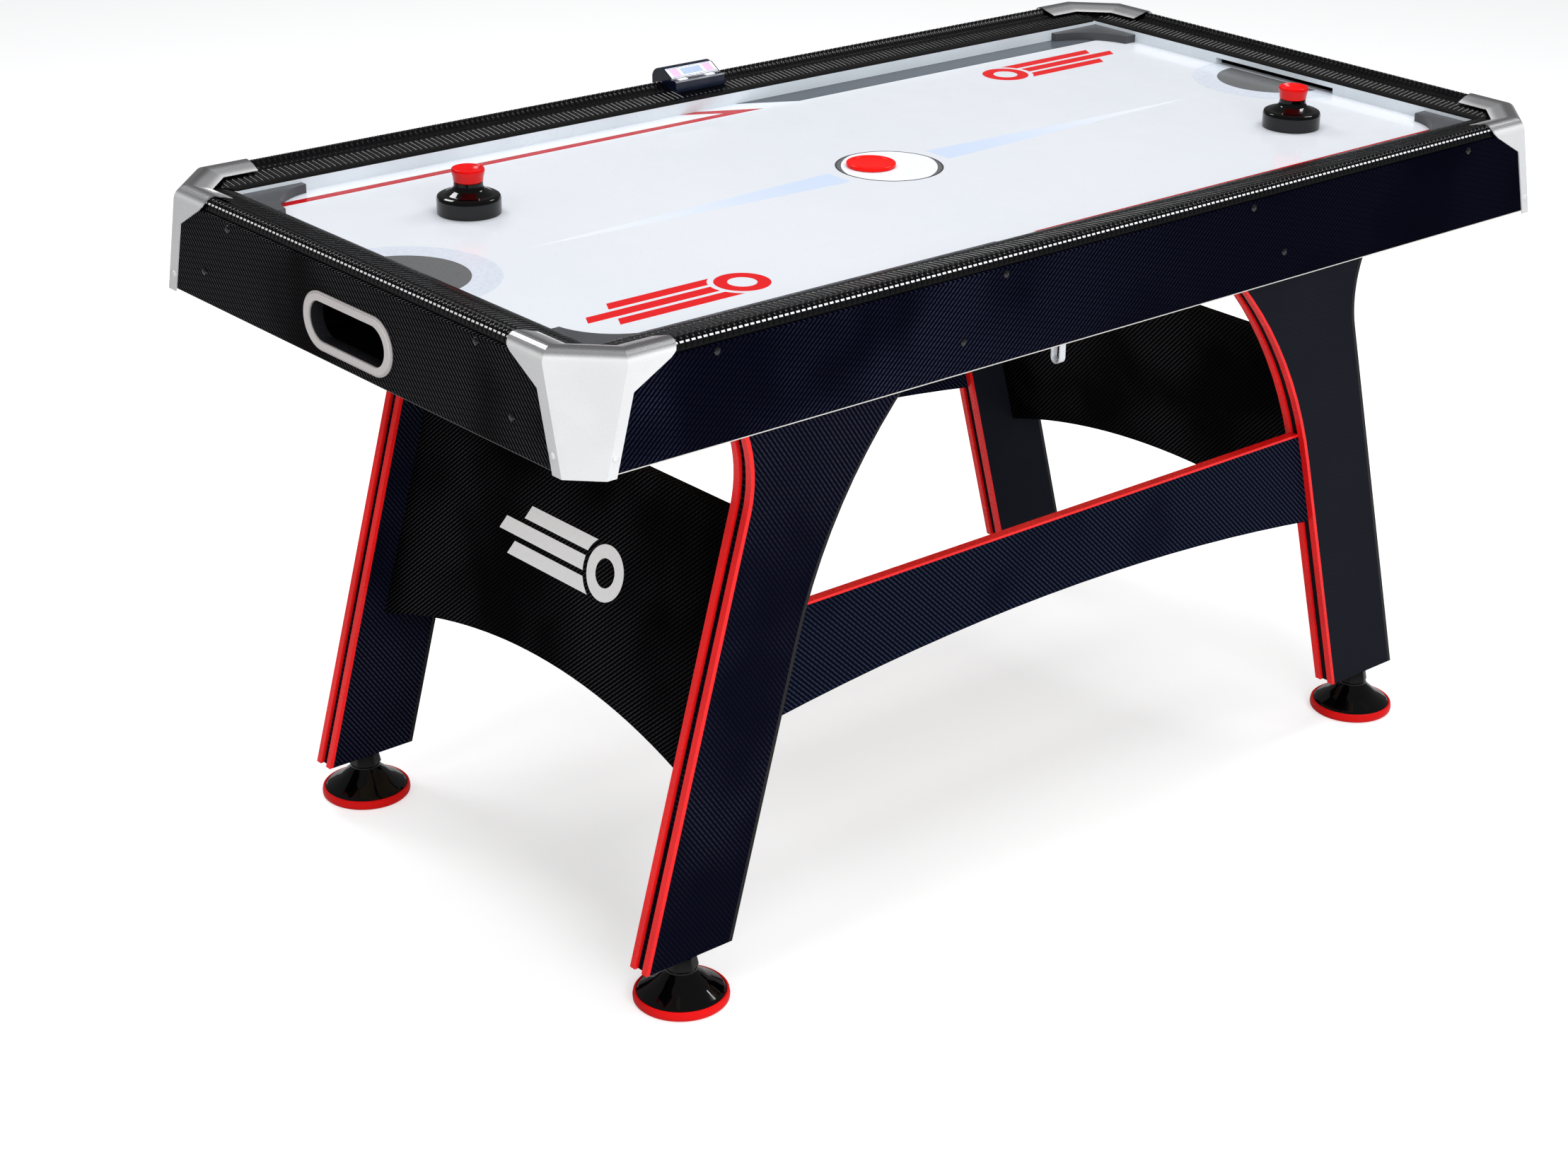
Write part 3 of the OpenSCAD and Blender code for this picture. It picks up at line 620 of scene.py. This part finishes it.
def rail(name, along_x, sign, node):
    """One ribbed rail, mitred at its ends and cut back under the corner caps."""
    half, other = (HX, HY) if along_x else (HY, HX)
    prof = rail_profile(other - (FY if along_x else FX))
    n = int(half / PITCH) + 1
    # The profile row where the rib tips get painted highlights; it differs between the near and left rails
    # and the far and right rails.
    bright = 4 if sign < 0 else 9
    bm = bmesh.new()
    grid = []
    for s, d in [((k + f) * PITCH, d) for k in range(-n, n + 1) for f, d in RIB]:
        ring = []
        for dist, h, amount in prof:
            drop = RIB_DEPTH * d * amount
            dd = dist + (drop if dist < 0.008 else 0)
            hh = h - (drop if dist >= 0.008 else drop * 0.3)
            lim = half - dist
            along, across = max(-lim, min(lim, s)), sign * (other - dd)
            x, y = (along, across) if along_x else (across, along)
            ring.append(bm.verts.new((x, y, RAIL_Z + hh)))
        grid.append(ring)
    m = len(prof)
    for k, (a, b) in enumerate(zip(grid, grid[1:])):
        for i in range(m):
            j = (i + 1) % m
            f = bm.faces.new((a[i], a[j], b[j], b[i]))
            # On that row, four of every eight strips take the light grey: painted highlight dashes.
            if i == bright and k % 8 in (2, 3, 4, 5):
                f.material_index = 1
    bm.faces.new(grid[0][::-1])
    bm.faces.new(grid[-1])
    bmesh.ops.remove_doubles(bm, verts=bm.verts, dist=1e-6)
    bmesh.ops.dissolve_degenerate(bm, edges=bm.edges, dist=1e-6)
    cut_for_caps(bm, along_x, sign)
    o = from_bm(name, bm, [M["rail"], M["rib_painted_highlight"]], "table", True, 28)
    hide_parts(node)


rail("rail_far_moulding", True, 1, "rail_far")
rail("rail_near_moulding", True, -1, "rail_near")
rail("rail_right_moulding", False, 1, "rail_right")
rail("rail_left_moulding", False, -1, "rail_left")


# ------------------------------------------------------------------ mallets, puck and feet

def middle(name):
    """The centre in plan and the corners of a node's box."""
    lo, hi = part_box(name)
    return ((lo.x + hi.x) / 2, (lo.y + hi.y) / 2), lo, hi


def mallet(n):
    c, lo, hi = middle(f"mallet_base_{n}")
    r = (hi.x - lo.x) / 2
    pts = [(0, 0.002), (r - 0.0036, 0.002), (r - 0.0036, 0.0), (r - 0.0002, 0.0), (r, 0.0030),
           (r, 0.0172), (r - 0.0010, 0.0205), (r - 0.0042, 0.0219), (r - 0.0085, 0.0226),
           (0.0235, 0.0250), (0.0188, 0.0275), (0.0168, 0.0310), (0.0164, 0.0360), (0, 0.0360)]
    rad = [0, 0, 0.0003, 0.0006, 0.001, 0.004, 0.003, 0.003, 0.01, 0.01, 0.006, 0.006, 0, 0]
    prof = [(a, lo.z + b) for a, b in fillet(pts, rad, 6)]
    base = lathe(f"mallet_{n}_base", prof, c, M["black"], f"mallet_{n}", 128, 50)
    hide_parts(f"mallet_base_{n}")
    # the knob's dished top; its points are for a knob 15.95 mm tall
    tall = 0.01595
    foot_z = lo.z + 0.0361
    pts = [(0, 0), (0.0158, 0), (0.0168, 0.0008), (0.0174, 0.0060), (0.0188, 0.0115), (0.0190, 0.0135),
           (0.0182, 0.0156), (0.0168, tall), (0.0145, 0.0142), (0.0110, 0.0122), (0.0060, 0.0112),
           (0.0030, 0.0109), (0.0022, 0.0101), (0, 0.0099)]
    rad = [0, 0.0005, 0.001, 0.006, 0.003, 0.002, 0.0012, 0.0012, 0.006, 0.006, 0.004, 0.0008, 0.0008, 0]
    scale = (middle(f"mallet_knob_{n}")[2].z - foot_z) / tall
    prof = [(a, foot_z + b * scale) for a, b in fillet(pts, rad, 6)]
    knob = lathe(f"mallet_{n}_knob", prof, c, M["knob"], f"mallet_{n}", 128, 60)
    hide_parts(f"mallet_knob_{n}")


mallet(1)
mallet(2)


def puck():
    c, lo, hi = middle("puck")
    r = (hi.x - lo.x) / 2
    t = hi.z - lo.z
    pts = [(0, 0), (r - 0.0008, 0), (r, 0.0008), (r, t - 0.0012), (r - 0.0012, t - 0.0002),
           (r - 0.0045, t), (r - 0.0062, t - 0.0005), (r - 0.0070, t - 0.0011), (0, t - 0.0011)]
    rad = [0, 0.0006, 0.0006, 0.001, 0.002, 0.002, 0.001, 0.001, 0]
    prof = [(a, lo.z + b) for a, b in fillet(pts, rad, 5)]
    o = lathe("puck_disc", prof, c, M["puck"], "puck", 128, 50)
    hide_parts("puck")


puck()


def flat_sided(a, sides=6, depth=0.90):
    """How far out a round collar with cut flats reaches at angle a, as a share of its radius."""
    step = 2 * math.pi / sides
    k = (a + step / 2) % step - step / 2
    return min(1.0, depth / math.cos(k))


def foot_collar(side, c, body):
    """The collar with six flats between the cone and the threaded rod."""
    bm = bmesh.new()
    rings = []
    for z, r in ((0.0412, 0.0190), (0.0420, 0.0198), (0.0525, 0.0176), (0.0554, 0.0160)):
        ring = []
        for i in range(48):
            a = 2 * math.pi * i / 48
            rr = r * flat_sided(a)
            ring.append(bm.verts.new((c[0] + rr * math.cos(a), c[1] + rr * math.sin(a), z)))
        rings.append(ring)
    for a, b in zip(rings, rings[1:]):
        bridge(bm, a, b)
    bm.faces.new(rings[0][::-1])
    bm.faces.new(rings[-1])
    from_bm(f"foot_{side}_collar", bm, M["satin_black"], body, True, 20)


def foot(side):
    c, lo, hi = middle(f"foot_{side}")
    body = f"foot_{side}"
    pts = [(0, 0.0032), (0.0505, 0.0032), (0.0505, 0.0115), (0.0478, 0.0140), (0.0330, 0.0235),
           (0.0215, 0.0340), (0.0182, 0.0385), (0.0182, 0.0402), (0.0170, 0.0408), (0.0170, 0.0412),
           (0, 0.0412)]
    rad = [0, 0.0005, 0.002, 0.004, 0.05, 0.03, 0.004, 0.0006, 0.0005, 0, 0]
    cone = lathe(f"foot_{side}_cone", fillet(pts, rad, 6), c, M["black"], body, 96, 50)
    foot_collar(side, c, body)
    thread = [(0.0046 + 0.0004 * (i % 2), 0.0545 + 0.0008 * i) for i in range(50)]
    rod = [(0, 0.0545)] + thread + [(0, hi.z)]
    lathe(f"foot_{side}_rod", rod, c, M["steel"], body, 24, 60)
    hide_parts(f"foot_{side}")
    _, lo, hi = middle(f"foot_ring_{side}")
    r = (hi.x - lo.x) / 2
    pts = [(0, 0.0002), (0.0520, 0.0), (r - 0.0004, 0.0022), (r, 0.0062), (r - 0.0008, 0.0104),
           (0.0524, 0.0121), (0.0507, 0.0117), (0.0507, 0.0030), (0, 0.0030)]
    rad = [0, 0.002, 0.002, 0.004, 0.002, 0.0012, 0.0008, 0.0005, 0]
    ring = lathe(f"foot_{side}_ring", fillet(pts, rad, 5), c, M["ring"], body, 96, 50)
    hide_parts(f"foot_ring_{side}")


for side in CORNERS:
    foot(side)


# ------------------------------------------------------------------ print on the playing field

INK_Z0, INK_Z1 = FIELD_Z - 0.00002, FIELD_Z + 0.00010


def ink(name, outlines, mat, z1=INK_Z1):
    bm = bmesh.new()
    for pts in outlines:
        prism(bm, pts, INK_Z0, z1)
    return from_bm(name, bm, mat, "table")


def both(pts):
    """The outline and the same outline turned half a turn about the field's middle."""
    return [pts, [(-x, -y) for x, y in pts]]


W = FY - 0.0002
E = FX - 0.0002
STRIPE = [(-E, 0.295), (0.050, 0.2965), (-0.005, 0.308), (-E, 0.308)]
STRIPE_TAIL = [(-0.055, W), (-0.0065, 0.3083), (-0.0047, 0.3078), (0.049, 0.2967), (-0.030, W)]
ink("print_red_stripes", both(STRIPE) + both(STRIPE_TAIL), M["stripe_red"])
ink("print_grey_bands", both([(0.035, W), (0.110, 0.297), (E, 0.297), (E, W)]), M["print_band"])
ink("print_wedge_left", [[(-0.080, 0.020), (-0.530, 0.0), (-0.080, -0.022)]], M["wedge_l"])
ink("print_wedge_right", [[(0.080, -0.020), (0.530, 0.0), (0.080, 0.022)]], M["wedge_r"])


def half_disc(side, r):
    """Half a disc that stands against the goal end on one side."""
    start = 90 if side > 0 else -90
    return arc(side * E, 0, r, start, start + 180, 48)


for side, end in ((-1, "left"), (1, "right")):
    ink(f"print_crease_halo_{end}", [half_disc(side, 0.108)], M["print_blue"])
    ink(f"print_crease_{end}", [half_disc(side, 0.075)], M["print_grey"], INK_Z1 + 0.00005)

CIRCLE_R = 0.0640


def crescent(middle_deg, n=32):
    """A thin sickle inside the centre circle's edge, 88 degrees long and deepest in its middle."""
    outer = arc(0, 0, CIRCLE_R, middle_deg - 44, middle_deg + 44, n)
    inner = []
    for i in range(1, n):
        a = math.radians(middle_deg + 44 - 88 * i / n)
        r = CIRCLE_R - 0.0058 * math.sin(math.pi * i / n)
        inner.append((r * math.cos(a), r * math.sin(a)))
    return outer + inner


ink("print_circle_white", [arc(0, 0, CIRCLE_R, 0, 360 - 360 / 96, 95)], M["print_white"])
ink("print_circle_crescent_right", [crescent(-43)], M["print_grey"], INK_Z1 + 0.00003)
ink("print_circle_crescent_left", [crescent(137)], M["print_grey"], INK_Z1 + 0.00003)
bm = bmesh.new()
ring_solid(bm, lambda u, v, z: (u, v, z), 0, (0.0634, 0.0656), (INK_Z0, INK_Z1 + 0.00004), 128)
from_bm("print_circle_ring", bm, M["print_slate"], "table")


def speed_motif(name, place, mat, length, height, z0, z1):
    """A generic disc with three slanted speed bars; place maps (u, v, height) to a point."""
    bm = bmesh.new()
    r = height * 0.5
    cu = length / 2 - r
    gap = 0.10 * height
    bar = (height - 2 * gap) / 3
    for i, start in enumerate((0.10, 0.0, 0.18)):
        v0 = -height / 2 + i * (bar + gap)
        u0 = -length / 2 + start * length
        levels = [v0 + bar * t / 8 for t in range(9)]
        pts = [(u0, v0)] + [(cu - math.sqrt((r * 1.22) ** 2 - v * v), v) for v in levels]
        pts.append((u0 + 0.55 * bar, v0 + bar))
        slab(bm, [place(u, v, z0) for u, v in pts], [place(u, v, z1) for u, v in pts])
    ring_solid(bm, place, cu, (r * 0.52, r), (z0, z1), 64)
    from_bm(name, bm, mat, "table")


def on_field(turn):
    """Places a motif on the field: turn is 1 for the near left one and -1 for the far right one."""
    return lambda u, v, z: (turn * (-0.510 + u), turn * (-0.235 + v), z)


speed_motif("print_motif_near", on_field(1), M["print_red"], 0.240, 0.062, INK_Z0, INK_Z1)
speed_motif("print_motif_far", on_field(-1), M["print_red"], 0.240, 0.062, INK_Z0, INK_Z1)

# ------------------------------------------------------------------ motif on the end panels

PANEL_SLOPE = 0.286
PANEL_LEAN = math.atan(PANEL_SLOPE)
PANEL_X, PANEL_Z = 0.5303, 0.300
MOTIF_Z = 0.415


def on_panel(side):
    """Places a motif on the outer face of a leaning end panel."""
    def place(u, v, z):
        zz = MOTIF_Z + v * math.cos(PANEL_LEAN)
        x = PANEL_X - PANEL_SLOPE * (zz - PANEL_Z) + z * math.cos(PANEL_LEAN)
        return (side * x, -u, zz + z * math.sin(PANEL_LEAN))
    return place


def panel_white():
    q = Mat("print_panel_white", (0.85, 0.85, 0.84), 0.4, 0, 0.4)
    q.set("Base Color", q.mix(q.ramp(q.noise(200, 3), 0.3, 0.7), (0.94, 0.94, 0.94), (0.97, 0.97, 0.97)))
    return q.mat


M["panel_white"] = panel_white()
for side, end in ((-1, "left"), (1, "right")):
    speed_motif(f"panel_motif_{end}", on_panel(side), M["panel_white"],
                0.235, 0.066, -0.00005, 0.00025)

# ------------------------------------------------------------------ scorer label

LABEL_LEAN = math.radians(30.17)
LABEL_TOP = Vector((0, 0.389, 0.8279))
LABEL_DEPTH = 0.0183
LABEL_T = 0.0007


def label_tile(name, x0, x1, t0, t1, mat, lift):
    """A thin tile on the scorer's sloping face; t runs from the low edge to the high edge."""
    up = Vector((0, math.cos(LABEL_LEAN), math.sin(LABEL_LEAN)))
    out = Vector((0, -math.sin(LABEL_LEAN), math.cos(LABEL_LEAN)))
    start = LABEL_TOP - up * LABEL_DEPTH + out * LABEL_T
    corners = ((x0, t0), (x1, t0), (x1, t1), (x0, t1))
    low, top = ([tuple(Vector((x, 0, 0)) + start + up * t + out * h) for x, t in corners]
                for h in (-0.00005, lift))
    bm = bmesh.new()
    slab(bm, low, top)
    from_bm(name, bm, mat, "table")


M["pink"] = plain_print("label_pink", (0.62, 0.40, 0.55))
M["window"] = plain_print("label_window", (0.34, 0.42, 0.56))
M["label_navy"] = plain_print("label_navy", (0.03, 0.04, 0.10))
label_tile("label_window", -0.0160, 0.0160, 0.0035, 0.0150, M["window"], 0.00012)
label_tile("label_pink_left", -0.0330, -0.0200, 0.0025, 0.0160, M["pink"], 0.00012)
label_tile("label_pink_right", 0.0200, 0.0330, 0.0025, 0.0160, M["pink"], 0.00012)
label_tile("label_line_low", -0.0360, 0.0360, 0.0010, 0.0017, M["label_navy"], 0.00010)
label_tile("label_line_high", -0.0360, 0.0360, 0.0166, 0.0172, M["label_navy"], 0.00010)


# ------------------------------------------------------------------ floor, lights, camera

def floor():
    """The plain floor; it looks near white to the camera and throws less light on the table."""
    q = Mat("studio_floor", (0.62, 0.62, 0.625), 0.8, 0, 0.0)
    q.set("Base Color", q.mix(q.ramp(q.noise(0.8, 2), 0.3, 0.7), (0.615, 0.615, 0.62), (0.625, 0.625, 0.627)))
    q.set("Emission Color", (1, 1, 1, 1))
    seen = q.node("ShaderNodeLightPath").outputs["Is Camera Ray"]
    q.set("Emission Strength", q.m("MULTIPLY", seen, 0.54))
    bm = bmesh.new()
    bmesh.ops.create_grid(bm, x_segments=1, y_segments=1, size=30)
    mesh = bpy.data.meshes.new("studio_floor")
    bm.to_mesh(mesh)
    bm.free()
    mesh.materials.append(q.mat)
    o = bpy.data.objects.new("studio_floor", mesh)
    o.location = (0, 0, -0.0002)
    scene.collection.objects.link(o)


floor()


def area(name, loc, target, size, power, color=(1, 1, 1), glossy=False):
    """A square soft box; glossy says whether it shows in reflections."""
    light = bpy.data.lights.new(name, "AREA")
    light.shape = "RECTANGLE"
    light.size = light.size_y = size
    light.energy = power
    light.color = color
    o = bpy.data.objects.new(name, light)
    o.location = loc
    o.rotation_euler = (Vector(target) - Vector(loc)).to_track_quat("-Z", "Y").to_euler()
    o.visible_glossy = glossy
    scene.collection.objects.link(o)


area("overhead", (0.2, 0.0, 4.2), (0, 0, 0.6), 4.5, 170)
area("front_fill", (-1.4, -4.1, 1.8), (0, 0, 0.6), 2.2, 125, (0.98, 0.99, 1.0))
area("left_key", (-4.2, -0.6, 3.4), (0, 0, 0.3), 1.0, 24, (1, 0.97, 0.96))
area("box_right", (2.5, -0.4, 3.4), (0, 0, 0.8), 0.9, 30, glossy=True)
area("box_back", (-0.4, 2.6, 3.4), (0, 0, 0.8), 0.9, 30, glossy=True)

world = bpy.data.worlds.new("studio")
world.use_nodes = True
scene.world = world
wn = world.node_tree
for n in list(wn.nodes):
    wn.nodes.remove(n)


def sky(strength, color=(1, 1, 1, 1)):
    """An even sky."""
    n = wn.nodes.new("ShaderNodeBackground")
    n.inputs[0].default_value = color
    n.inputs[1].default_value = strength
    return n


def choose(flag, a, b):
    """Sky b for the rays that the flag names, and sky a for the others."""
    n = wn.nodes.new("ShaderNodeMixShader")
    wn.links.new(path.outputs[flag], n.inputs[0])
    wn.links.new(a.outputs[0], n.inputs[1])
    wn.links.new(b.outputs[0], n.inputs[2])
    return n


out = wn.nodes.new("ShaderNodeOutputWorld")
path = wn.nodes.new("ShaderNodeLightPath")
soft = choose("Is Glossy Ray", sky(0.30, (0.95, 0.97, 1.0, 1)), sky(0.15))
wn.links.new(choose("Is Camera Ray", soft, sky(1.05)).outputs[0], out.inputs[0])

scene.view_settings.view_transform = "Standard"


def camera():
    """The photograph's viewing angle."""
    data = bpy.data.cameras.new("camera")
    data.sensor_width = 36
    data.sensor_fit = "HORIZONTAL"
    data.lens = 68.08
    data.shift_x = -0.0764
    data.shift_y = 0.0102
    data.clip_end = 100
    o = bpy.data.objects.new("camera", data)
    az, pitch, roll = math.radians(42.8126), math.radians(24.2209), math.radians(1.4652)
    fwd = Vector((math.sin(az) * math.cos(pitch), math.cos(az) * math.cos(pitch), -math.sin(pitch)))
    right = Vector((math.cos(az), -math.sin(az), 0))
    up = right.cross(fwd)
    r = right * math.cos(roll) + up * math.sin(roll)
    u = -right * math.sin(roll) + up * math.cos(roll)
    m = Matrix((r, u, -fwd)).transposed().to_4x4()
    m.translation = Vector((-2.33139, -2.56179, 1.76972))
    o.matrix_world = m
    scene.collection.objects.link(o)
    scene.camera = o


camera()

bpy.context.view_layer.update()
